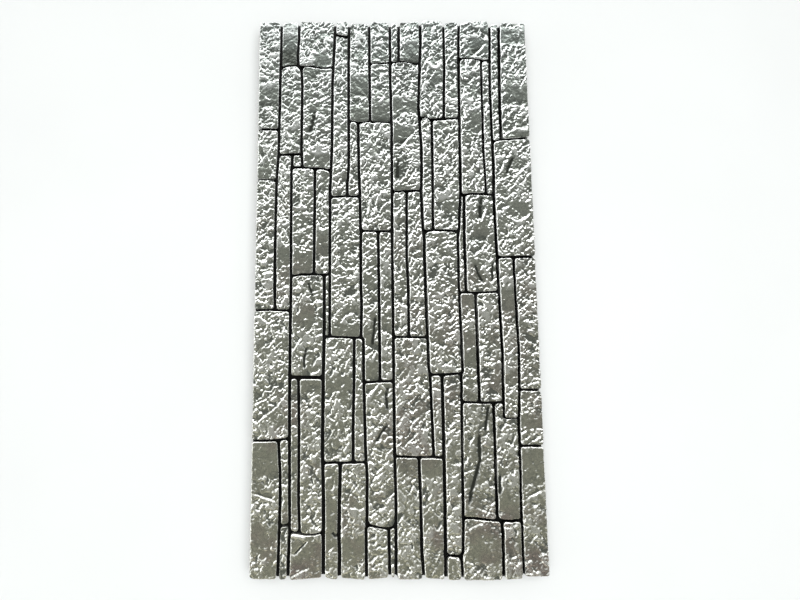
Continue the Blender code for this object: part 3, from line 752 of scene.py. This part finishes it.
def split_face_tree():
    """Geometry Nodes: turns smooth stone blocks into split ones."""
    tree = bpy.data.node_groups.new("split stone face", "GeometryNodeTree")
    tree.interface.new_socket("Blocks", in_out="INPUT", socket_type="NodeSocketGeometry")
    for name, value in SPLIT_SIZES.items():
        socket = tree.interface.new_socket(name, in_out="INPUT", socket_type="NodeSocketFloat")
        socket.default_value = value
    tree.interface.new_socket("Finish", in_out="INPUT", socket_type="NodeSocketMaterial")
    tree.interface.new_socket("Stones", in_out="OUTPUT", socket_type="NodeSocketGeometry")
    given = add(tree, "NodeGroupInput").outputs
    known = {name: add(tree, "GeometryNodeInputNamedAttribute", {"Name": name},
                       data_type="FLOAT_VECTOR" if name == "plan" else "FLOAT")
             for name in ("plan", "stone", "turn", "top", "carve", "calm", "loose", "rough")}

    # Every noise and every cell pattern is drawn anew for each stone, by its fourth coordinate.
    draw = add(tree, "Math", {0: known["stone"], 1: given["Seed"]}, operation="ADD")
    noises = {name: add(tree, "TexNoise", {"Vector": known["plan"], "W": draw, "Scale": scale,
                                           "Detail": detail}, noise_dimensions="4D")
              for name, scale, detail in (("bending", 45.0, 2.0), ("patches", 34.0, 2.0),
                                          ("rim", 90.0, 3.0), ("outline", 60.0, 2.0))}
    scales = {name: add(tree, "Math", {0: 1.0, 1: given[f"{name} Size"]}, operation="DIVIDE")
              for name in ("Sheet", "Slab", "Chip", "Flake", "Ridge", "Swell", "Grain")}

    # The two ways the stone splits: the plan turned by the stone's own angle one way and the
    # other, then bent by noise.
    back = add(tree, "Math", {0: known["turn"], 1: -1.0}, operation="MULTIPLY")
    ways = []
    for angle in (known["turn"], back):
        turned = add(tree, "VectorRotate", {"Vector": known["plan"], "Angle": angle},
                     rotation_type="Z_AXIS")
        ways.append(add(tree, "VectorMath", {0: noises["bending"].outputs["Color"],
                                             1: (BENDING, BENDING, 0.0), 2: turned},
                        operation="MULTIPLY_ADD"))
    bent, crossing = ways

    # How wild the split is: less where the stone split more cleanly, least on the listed patches,
    # whose borders are ragged.
    calm = add(tree, "Math", {0: noises["rim"], 1: 2.2, 2: known["calm"]},
               operation="MULTIPLY_ADD")
    wildness = known["rough"]
    for value, start, end, least, most in ((noises["patches"], 0.40, 0.52, 0.38, 1.0),
                                           (calm, 1.35, 1.9, 1.0, 0.22)):
        share = add(tree, "MapRange", {"Value": value, "From Min": start, "From Max": end,
                                       "To Min": least, "To Max": most},
                    interpolation_type="SMOOTHSTEP")
        wildness = add(tree, "Math", {0: wildness, 1: share}, operation="MULTIPLY")

    # Broken sheets: the contours of bent noise become risers, with treads between them.
    hills = add(tree, "TexNoise", {"Vector": bent, "W": draw, "Scale": scales["Sheet"],
                                   "Detail": 4.0, "Roughness": 0.55}, noise_dimensions="4D")
    phase = add(tree, "Math", {0: hills, 1: SHEETS_IN_A_HILL}, operation="MULTIPLY")
    rise = add(tree, "Math", {0: phase}, operation="FRACT")
    foot = add(tree, "Math", {0: 1.0, 1: given["Riser Share"]}, operation="SUBTRACT")
    rough = rise
    for operation, value in (("SUBTRACT", add(tree, "MapRange", {"Value": rise, "From Min": foot})),
                             ("SUBTRACT", 0.33), ("MULTIPLY", given["Sheet Height"])):
        rough = add(tree, "Math", {0: rough, 1: value}, operation=operation)

    # Facets of three sizes: cells longer along the split, each a plane at a slope of its own.
    for name, way, narrow in (("Slab", bent, 0.6), ("Chip", crossing, 0.45),
                              ("Flake", bent, 0.36)):
        long_way = add(tree, "VectorMath", {0: way, 1: (1.0, narrow, 1.0)}, operation="MULTIPLY")
        facets = add(tree, "TexVoronoi", {"Vector": long_way, "W": draw, "Scale": scales[name]},
                     voronoi_dimensions="4D")
        reach = add(tree, "VectorMath", {0: long_way, 1: facets.outputs["Position"]},
                    operation="SUBTRACT")
        slope = add(tree, "VectorMath", {0: facets.outputs["Color"], 1: (0.5, 0.5, 0.5)},
                    operation="SUBTRACT")
        plane = add(tree, "VectorMath", {0: reach, 1: slope}, operation="DOT_PRODUCT")
        twice = add(tree, "Math", {0: given[f"{name} Slope"], 1: 2.0}, operation="MULTIPLY")
        rough = add(tree, "Math", {0: plane.outputs["Value"], 1: twice, 2: rough},
                    operation="MULTIPLY_ADD")

    # Ridges: thin crests in arcs and rings, left between shell-shaped hollows.
    ridges = add(tree, "TexNoise", {"Vector": bent, "W": draw, "Scale": scales["Ridge"],
                                    "Detail": 2.0, "Roughness": 0.5, "Offset": 1.0, "Gain": 1.0},
                 noise_dimensions="4D", noise_type="RIDGED_MULTIFRACTAL")
    ridge = add(tree, "MapRange", {"Value": ridges, "From Min": 0.5, "From Max": 1.7,
                                   "To Min": -0.25, "To Max": 1.0})
    rough = add(tree, "Math", {0: ridge, 1: given["Ridge Height"], 2: rough},
                operation="MULTIPLY_ADD")

    # All this is weakened on clean patches. The broad swell, the fine grain and the listed features
    # aren't.
    rough = add(tree, "Math", {0: rough, 1: wildness}, operation="MULTIPLY")
    for name, detail in (("Swell", 1.0), ("Grain", 2.0)):
        waves = add(tree, "TexNoise", {"Vector": known["plan"], "W": draw, "Scale": scales[name],
                                       "Detail": detail}, noise_dimensions="4D")
        waves = add(tree, "Math", {0: waves, 1: 0.5}, operation="SUBTRACT")
        rough = add(tree, "Math", {0: waves, 1: given[f"{name} Height"], 2: rough},
                    operation="MULTIPLY_ADD")
    height = rough
    for operation, value in (("SUBTRACT", given["Face Sink"]), ("SMOOTH_MIN", given["Highest"]),
                             ("ADD", known["carve"]), ("MAXIMUM", given["Lowest"]),
                             ("MINIMUM", given["Highest"])):
        height = add(tree, "Math", {0: height, 1: value, 2: CREST_ROUNDING}, operation=operation)
    lift = add(tree, "Math", {0: height, 1: known["top"]}, operation="MULTIPLY")

    # The outline wavers a little, except at the panel's own edges.
    centred = add(tree, "VectorMath", {0: noises["outline"].outputs["Color"], 1: (0.5, 0.5, 0.5)},
                  operation="SUBTRACT")
    amount = add(tree, "Math", {0: given["Outline Waver"], 1: known["loose"]},
                 operation="MULTIPLY")
    waver = add(tree, "VectorMath", {0: centred, "Scale": amount}, operation="SCALE")
    parts = add(tree, "SeparateXYZ", {0: waver})
    shift = add(tree, "CombineXYZ", {"X": parts.outputs["X"], "Y": parts.outputs["Y"], "Z": lift})
    moved = add(tree, "GeometryNodeSetPosition", {"Geometry": given["Blocks"], "Offset": shift})
    stored = add(tree, "GeometryNodeStoreNamedAttribute",
                 {"Geometry": moved, "Name": "relief", "Value": height},
                 data_type="FLOAT", domain="POINT")
    real = add(tree, "GeometryNodeRealizeInstances", {0: stored})
    finished = add(tree, "GeometryNodeSetMaterial", {"Geometry": real, "Material": given["Finish"]})
    add(tree, "NodeGroupOutput", {0: finished})
    return tree


split_tree = split_face_tree()
print("split face tree:", len(split_tree.nodes), "nodes")

# %% [markdown]
# The finish of the real panel is sprayed in two coats: black over the whole face, then a pewter
# coloured metallic paint that catches only what stands up, so the joints stay black. Small
# aluminium flakes in the paint give it a broad satin gloss, so it counts as a rough metal. Light is
# also painted into its colour: a painted reflection makes it cooler, bluer and darker at the far
# end and a little browner at the near end, crests and risers carry painted highlights, and hollows
# and gouges carry painted shade. Raw cream foam shows on the back and at the foot of the sides.

# %% Finish of the stones
# Near and far hold a painted reflection, warm at the near end, cool and darker at the far end; the
# crest colours are painted highlights; hollow and gouge are painted shade, and hollow also colours
# mottles; tint colours brown clouds.
PEWTER_AND_PAINTED_LIGHT = {"near": "a2a18d", "far": "777d79", "tint": "90837c", "near crest": "eeeee6",
          "far crest": "eceeec", "mottle_and_hollow_shade": "5c605a", "gouge": "2b2d27"}
FOAM = {"plain": "d8cba6", "aged": "c2ae7e"}
BLACK = "0a0b08"
MATT_ROUGHNESS, MATT_SPECULAR = 0.62, 0.2
PAINTED_GLINT_DIRECTION = (-0.15, 0.7, 0.0)


def foam_and_coat(tree, height, spot):
    """Share of raw foam and share of overspray on a side, from the height above the back."""
    wander = add(tree, "TexNoise", {"Vector": spot, "Scale": 90.0, "Detail": 3.0})
    ragged = add(tree, "Math", {0: wander, 1: 0.008, 2: height}, operation="MULTIPLY_ADD")
    raw = add(tree, "MapRange", {"Value": ragged, "From Min": 0.0075, "From Max": 0.010,
                                 "To Min": 1.0, "To Max": 0.0})
    coat = add(tree, "MapRange", {"Value": ragged, "From Min": 0.026, "From Max": 0.040})
    return raw, coat


def over_foam(tree, spot, raw, paint):
    """The paint's colour, or where raw is 1, cream rigid foam, a little yellowed in clouds."""
    clouds = add(tree, "TexNoise", {"Vector": spot, "Scale": 14.0, "Detail": 4.0})
    foam = add(tree, "Mix", {0: clouds, 6: linear(FOAM["plain"]), 7: linear(FOAM["aged"])},
               data_type="RGBA")
    return add(tree, "Mix", {0: raw, 6: paint, 7: foam.outputs[2]}, data_type="RGBA").outputs[2]


def add_bump(tree, shader, pattern, depth):
    """Lets a fine pattern stir the shader's normal."""
    bump = add(tree, "Bump", {"Height": pattern, "Strength": 0.4, "Distance": depth})
    tree.links.new(bump.outputs[0], shader.inputs["Normal"])


def pewter_over_black():
    """Sprayed pewter metallic over black on foam: a rough metal with painted highlights, shade and
    reflection.
    """
    material, tree, shader = blank_material("pewter metallic sprayed over black",
                                            specular=MATT_SPECULAR)
    spot = add(tree, "TexCoord").outputs["Object"]
    where = add(tree, "SeparateXYZ", {0: spot}).outputs
    known = {name: add(tree, "Attribute", attribute_name=name).outputs["Fac"]
             for name in ("relief", "joint", "free", "carve")}

    # Painted reflection: the colours of faces and crests run from the near end, lighter and warmer,
    # to the far end, darker and bluer.
    along = add(tree, "MapRange", {"Value": where["Y"], "From Min": -0.6, "From Max": 0.6})
    pewter, painted_highlight = (add(tree, "Mix", {0: along, 6: linear(PEWTER_AND_PAINTED_LIGHT[near]), 7: linear(PEWTER_AND_PAINTED_LIGHT[far])},
                         data_type="RGBA").outputs[2]
                     for near, far in (("near", "far"), ("near crest", "far crest")))

    # Faint brown clouds about 90 mm across, which fade towards the far end.
    clouds = add(tree, "TexNoise", {"Vector": spot, "Scale": 11.0, "Detail": 3.0})
    cloudy = add(tree, "MapRange", {"Value": clouds, "From Min": 0.52, "From Max": 0.66})
    nearer = add(tree, "Math", {0: 0.85, 1: along}, operation="SUBTRACT", use_clamp=True)
    browned = add(tree, "Math", {0: cloudy, 1: nearer}, operation="MULTIPLY")

    # The coat isn't quite even: streaks and mottles a few millimetres across.
    mottle = add(tree, "TexNoise", {"Vector": spot, "Scale": 170.0, "Detail": 4.0,
                                    "Roughness": 0.65, "Distortion": 0.8})

    # Painted highlight: steep risers are painted bright, the more so where they face the windows
    # beyond the far end and on the left.
    facing = add(tree, "NewGeometry").outputs["Normal"]
    toward = add(tree, "VectorMath", {0: facing, 1: PAINTED_GLINT_DIRECTION}, operation="DOT_PRODUCT")
    level = add(tree, "SeparateXYZ", {0: facing}).outputs["Z"]
    steep = add(tree, "Math", {0: 1.0, 1: level}, operation="SUBTRACT")
    painted_glint_mask = add(tree, "Math", {0: steep, 1: 2.0, 2: toward.outputs["Value"]},
                operation="MULTIPLY_ADD")

    # One over the other, each as: what its share follows, where it starts and where it is fullest,
    # how full that is, and its colour. Crests get a painted highlight, hollows and gouges painted
    # shade.
    # Painted shade: the hollow colour darkens low relief and the gouge colour darkens gouges; the
    # hollow colour also darkens random mottles.
    mottle_and_hollow_shade, gouge = linear(PEWTER_AND_PAINTED_LIGHT["mottle_and_hollow_shade"]), linear(PEWTER_AND_PAINTED_LIGHT["gouge"])
    for value, start, full, most, colour in ((browned, 0.0, 1.0, 1.0, linear(PEWTER_AND_PAINTED_LIGHT["tint"])),
                                             (mottle, 0.65, 0.35, 0.5, mottle_and_hollow_shade),
                                             (painted_glint_mask, 0.12, 0.40, 1.0, painted_highlight),
                                             (known["relief"], 0.0005, 0.0018, 0.35, painted_highlight),
                                             (known["relief"], -0.0006, -0.0022, 0.8, mottle_and_hollow_shade),
                                             (known["carve"], -0.0008, -0.0019, 0.85, gouge)):
        share = add(tree, "MapRange", {"Value": value, "From Min": start, "From Max": full,
                                       "To Max": most},
                    interpolation_type="SMOOTHSTEP" if value is painted_glint_mask else "LINEAR")
        pewter = add(tree, "Mix", {0: share, 6: pewter, 7: colour}, data_type="RGBA").outputs[2]

    # Where the pewter ends: a ragged line just under the arris, which runs deeper in some places,
    # or a fade on the panel's sides. On arrises that face the near end it sits higher, as painted
    # shade.
    fray = add(tree, "TexNoise", {"Vector": spot, "Scale": 260.0, "Detail": 3.0})
    line = add(tree, "Math", {0: fray, 1: 0.6, 2: known["joint"]}, operation="MULTIPLY_ADD")
    reach = add(tree, "TexNoise", {"Vector": spot, "Scale": 16.0, "Detail": 1.0})
    deep = add(tree, "MapRange", {"Value": reach, "From Min": 0.35, "From Max": 0.65,
                                  "To Min": 0.6, "To Max": 1.6})
    covered = add(tree, "MapRange", {"Value": line, "From Min": 0.35, "From Max": deep,
                                     "To Min": 1.0, "To Max": 0.0})
    raw, coat = foam_and_coat(tree, where["Z"], spot)
    silver = add(tree, "Mix", {0: known["free"], 2: covered, 3: coat})
    raw_here = add(tree, "Math", {0: raw, 1: known["free"]}, operation="MULTIPLY")
    painted = add(tree, "Mix", {0: silver, 6: linear(BLACK), 7: pewter}, data_type="RGBA")
    colour = over_foam(tree, spot, raw_here, painted.outputs[2])
    tree.links.new(colour, shader.inputs["Base Color"])

    skinned = add(tree, "MapRange", {"Value": raw_here, "To Min": 0.85, "To Max": 0.0})
    metal = add(tree, "Math", {0: silver, 1: skinned}, operation="MULTIPLY")
    tree.links.new(metal.outputs[0], shader.inputs["Metallic"])
    orange_peel = add(tree, "TexNoise", {"Vector": spot, "Scale": 320.0, "Detail": 2.0})
    gloss = add(tree, "MapRange", {"Value": orange_peel, "From Min": 0.3, "From Max": 0.7,
                                   "To Min": 0.17, "To Max": 0.25})
    rough = add(tree, "Mix", {0: metal, 2: MATT_ROUGHNESS, 3: gloss})
    tree.links.new(rough.outputs[0], shader.inputs["Roughness"])

    # Stone grain of about 2 mm and finer, cast into the skin.
    grain = add(tree, "TexNoise", {"Vector": spot, "Scale": 480.0, "Detail": 3.0,
                                   "Roughness": 0.6})
    add_bump(tree, shader, grain, 0.0005)
    return material


stone_finish = pewter_over_black()
print("finish:", stone_finish.name)

# %% [markdown]
# The stones are made in eight runs from left to right, each as long as the panel, so that every run
# can have a fine paint texture of its own. Each run is joined from its blocks,
# split by the tree, and turned into a plain mesh. It also gets a flat map: each face as it is, with
# its sides folded out round it, packed in rows.

# %% Runs of stones
RUN_EDGES = [77, 148, 232, 294, 361, 438, 519]
MAP_GAP = 4
EDGE_BAND, WAVER_START, WAVER_RAMP = 8, 9, 14


def shelf_places(sizes, side):
    """Lower left corners for rectangles set in rows, tallest first. None if they don't fit."""
    places = [None] * len(sizes)
    x = y = row = 0
    for index in sorted(range(len(sizes)), key=lambda i: -sizes[i][1]):
        across, up = sizes[index]
        if x + across > side:
            x, y, row = 0, y + row, 0
        row = max(row, up)
        places[index] = (x, y)
        x += across
    return places if y + row <= side else None


def flat_map(blocks):
    """Map coordinates, from 0 to 1, of all points of the blocks."""
    lows = [block["flat"].min(axis=0) for block in blocks]
    sizes = [block["flat"].max(axis=0) - low + MAP_GAP for block, low in zip(blocks, lows)]
    side = math.sqrt(sum(across * up for across, up in sizes))
    while (places := shelf_places(sizes, side)) is None:
        side *= 1.01
    side *= 1.02
    spread = [(block["flat"] - low + corner + MAP_GAP / 2) / side
              for block, low, corner in zip(blocks, lows, places)]
    return np.concatenate(spread)


def what_is_known(index, block):
    """Named values at each point of one block, which the tree and the finish read."""
    plan, size = block["plan"], len(block["plan"])
    carve, calm = features(plan)
    edge = np.minimum(plan, (WIDTH, LENGTH) - plan).min(axis=1)
    turn = math.radians(41 + 13 * math.sin(5.1 * index)) * (1 if index % 2 else -1)
    return {"top": block["top"], "joint": block["joint"], "carve": carve / 1000, "calm": calm,
            "stone": np.full(size, 7.3 * index), "turn": np.full(size, turn),
            "rough": np.full(size, ROUGHNESS.get(index, 1.0)),
            "loose": np.clip((edge - WAVER_START) / WAVER_RAMP, 0, 1),
            "free": np.where((edge < EDGE_BAND) & (block["joint"] > 0), 1.0, 0.0)}


def join_blocks(members):
    """One mesh of several stone blocks, with their map and attributes."""
    blocks = [stone_block(index) for index in members]
    starts = np.cumsum([0] + [len(block["places"]) for block in blocks])
    faces = [[number + int(start) for number in face]
             for block, start in zip(blocks, starts) for face in block["faces"]]
    mesh = bpy.data.meshes.new("stone blocks")
    places = np.concatenate([block["places"] for block in blocks])
    mesh.from_pydata(((places - (WIDTH / 2, LENGTH / 2, 0)) / 1000).tolist(), [], faces)
    corners = np.zeros(len(mesh.loops), dtype=np.int32)
    mesh.loops.foreach_get("vertex_index", corners)
    uv = flat_map(blocks)[corners]
    sides = np.zeros(len(mesh.polygons), dtype=np.int32)
    mesh.polygons.foreach_get("loop_total", sides)
    # The hidden underside of a block takes next to no room on the map.
    hidden = np.repeat(sides > 4, sides)
    uv[hidden] = 0.995 + (uv[hidden] - 0.5) * 0.008
    mesh.uv_layers.new(name="OFBake").data.foreach_set("uv", uv.ravel())
    mesh.polygons.foreach_set("use_smooth", sides == 4)

    tables = [what_is_known(index, block) for index, block in zip(members, blocks)]
    for name in tables[0]:
        values = np.concatenate([table[name] for table in tables])
        mesh.attributes.new(name, "FLOAT", "POINT").data.foreach_set("value", values)
    plan = np.concatenate([block["plan"] for block in blocks]) / 1000
    plan = np.column_stack([plan, np.zeros(len(plan))])
    mesh.attributes.new("plan", "FLOAT_VECTOR", "POINT").data.foreach_set("vector", plan.ravel())
    return mesh


def split_run(name, members):
    """Makes one run of split stones as a plain mesh piece."""
    blocks = place("blocks", join_blocks(members))
    splitting = blocks.modifiers.new("split stone face", "NODES")
    splitting.node_group = split_tree
    for socket in split_tree.interface.items_tree:
        if socket.name in SPLIT_SIZES:
            splitting[socket.identifier] = SPLIT_SIZES[socket.name]
        if socket.name == "Finish":
            splitting[socket.identifier] = stone_finish
    graph = bpy.context.evaluated_depsgraph_get()
    mesh = bpy.data.meshes.new_from_object(blocks.evaluated_get(graph), depsgraph=graph,
                                           preserve_all_data_layers=True)
    mesh.name = name
    bpy.data.objects.remove(blocks)
    return place(name, mesh)


# How rough some stones look beside the others.
ROUGHNESS = {0: 0.8, 3: 0.7, 4: 0.45, 6: 0.7, 7: 0.85, 8: 0.8, 12: 0.9, 13: 0.8, 15: 0.8, 16: 0.85,
             19: 0.8, 40: 0.85, 51: 1.15, 53: 1.1, 59: 1.1, 63: 1.1, 66: 1.1, 68: 1.1, 70: 1.1}

middles = [float(points[:, 0].mean()) for points, _, _ in nets]
run_numbers = np.digitize(middles, RUN_EDGES)
for number in range(len(RUN_EDGES) + 1):
    members = [index for index in range(len(STONES)) if run_numbers[index] == number]
    piece = split_run(f"stone_run_{number + 1}", members)
    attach(piece, "root")
    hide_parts("veneer_panel")
    triangles = sum(len(face.vertices) - 2 for face in piece.data.polygons)
    print(piece.name, len(members), "stones,", triangles, "triangles")

# %% [markdown]
# Behind the stones is the board that they are cast in one with. Only the floors of the joints, its
# edges and its back are seen. The floors aren't quite level, so the board is a net that is moved a
# little by waves, thickened downwards to a flat back, with its edges just behind the stones.

# %% The board behind the stones
BOARD_THICKNESS, END_SETBACK, EDGE_SETBACK = 22.0, 0.8, 0.4
BOARD_SPACING, END_WINDOW = 7.0, 4
BACK_BEVEL_HEIGHT, BACK_BEVEL_WIDTH = 1.5, 1.2


def black_on_foam():
    """Black base coat on cream foam: matt in the joints, raw and finely celled on the back."""
    material, tree, shader = blank_material("black base coat on rigid foam", specular=MATT_SPECULAR)
    spot = add(tree, "TexCoord").outputs["Object"]
    where = add(tree, "SeparateXYZ", {0: spot}).outputs
    raw, _ = foam_and_coat(tree, where["Z"], spot)
    colour = over_foam(tree, spot, raw, linear(BLACK))
    tree.links.new(colour, shader.inputs["Base Color"])
    rough = add(tree, "MapRange", {"Value": raw, "To Min": 0.6, "To Max": 0.9})
    tree.links.new(rough.outputs[0], shader.inputs["Roughness"])
    # Foam cells are about 0.3 mm, too fine to show, so they are drawn at 1.2 mm.
    add_bump(tree, shader, add(tree, "TexVoronoi", {"Vector": spot, "Scale": 830.0}), 0.0004)
    return material


def board_mesh():
    """A closed slab with an uneven top and a flat back."""
    x_end = WIDTH / 2 - EDGE_SETBACK
    columns, rows = round(2 * x_end / BOARD_SPACING), round(LENGTH / BOARD_SPACING)
    x, share = np.meshgrid(np.linspace(-x_end, x_end, columns + 1), np.linspace(0, 1, rows + 1))
    # Its ends follow the ragged stone ends, and always stay just behind them.
    around = x[0] + WIDTH / 2 + np.linspace(-END_WINDOW, END_WINDOW, 9)[:, None]
    y_low = line_at(CROSS_LINES["bottom"], around).max(axis=0) + END_SETBACK
    y_high = line_at(CROSS_LINES["top"], around).min(axis=0) - END_SETBACK
    y = y_low + share * (y_high - y_low) - LENGTH / 2
    uneven = 0.25 * (np.sin(x / 11 + 3 * np.sin(y / 37)) + np.sin(y / 13 + 2 * np.sin(x / 29)))
    top = np.column_stack([x.ravel(), y.ravel(), BOARD_THICKNESS + uneven.ravel()])
    quads = net_quads(columns, rows)
    rim = rim_of(quads)
    rings = [top[rim] * (1, 1, 0) + (0, 0, BACK_BEVEL_HEIGHT), top[rim] * (1, 1, 0)]
    row, column = np.divmod(rim, columns + 1)
    at_edge = np.stack([(column == 0) | (column == columns), (row == 0) | (row == rows)], axis=-1)
    rings[1][:, :2] -= BACK_BEVEL_WIDTH * np.sign(rings[1][:, :2]) * at_edge
    loops = [rim] + [len(top) + len(rim) * k + np.arange(len(rim)) for k in range(2)]
    mesh = bpy.data.meshes.new("back_board")
    mesh.from_pydata((np.concatenate([top] + rings) / 1000).tolist(), [],
                     quads.tolist() + bands(loops))
    return mesh


board = place("back_board", board_mesh())
board.data.materials.append(black_on_foam())
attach(board, "root")
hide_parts("veneer_panel")
print("board:", len(board.data.polygons), "faces")
